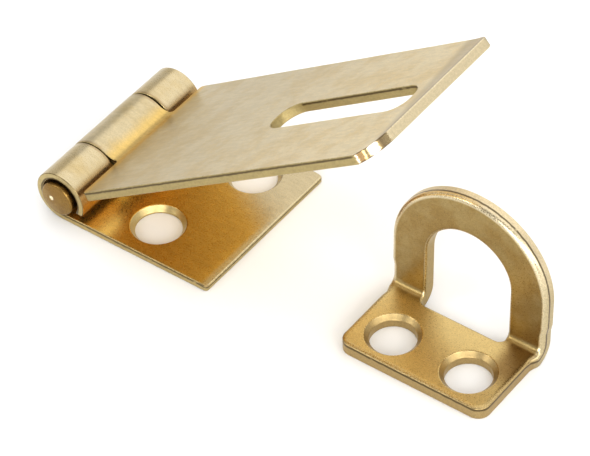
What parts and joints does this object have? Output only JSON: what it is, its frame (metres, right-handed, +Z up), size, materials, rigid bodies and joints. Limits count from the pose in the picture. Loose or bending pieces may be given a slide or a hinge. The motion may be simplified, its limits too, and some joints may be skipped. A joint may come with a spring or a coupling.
{
  "type": "hasp and staple",
  "caption": "Safety hasp with a slotted strap hinged on a screw-down leaf, and a separate screw-down staple whose loop stands through the slot to take a padlock.",
  "frame": {"origin": "middle of the base leaf's underside, which is the mounting face: midway between the barrel's centre line and the free edge, at mid width", "axes": "+X from the barrel towards the leaf's free edge and the staple, +Y along the barrel, +Z up out of the mounting face"},
  "size_m": [0.0527, 0.0204, 0.0285],
  "materials": {
    "plated_leaf": "satin brass plate on stamped steel sheet",
    "plated_strap": "satin brass plate on stamped steel sheet, pale on top",
    "pin": "satin brass plate, darker, with peened domed ends",
    "plated_staple": "satin brass plate on thicker stamped steel sheet, bright on the rolled edges"
  },
  "bodies": {
    "leaf": {"base_leaf": "plated_leaf", "hinge_pin": "pin"},
    "strap": {"hasp_strap": "plated_strap"},
    "staple": {"staple": "plated_staple"}
  },
  "joints": [
    {"name": "strap_hinge", "type": "hinge", "parent": "leaf", "child": "strap", "pos_m": [-0.0091, 0, 0.0029], "axis": [0, -1, 0], "range_deg": [-13.5, 146]},
    {"name": "staple_slide", "type": "slide", "parent": "leaf", "child": "staple", "axis": [-0.9701, -0.2425, 0], "range_m": [0, 0.00763]}
  ]
}
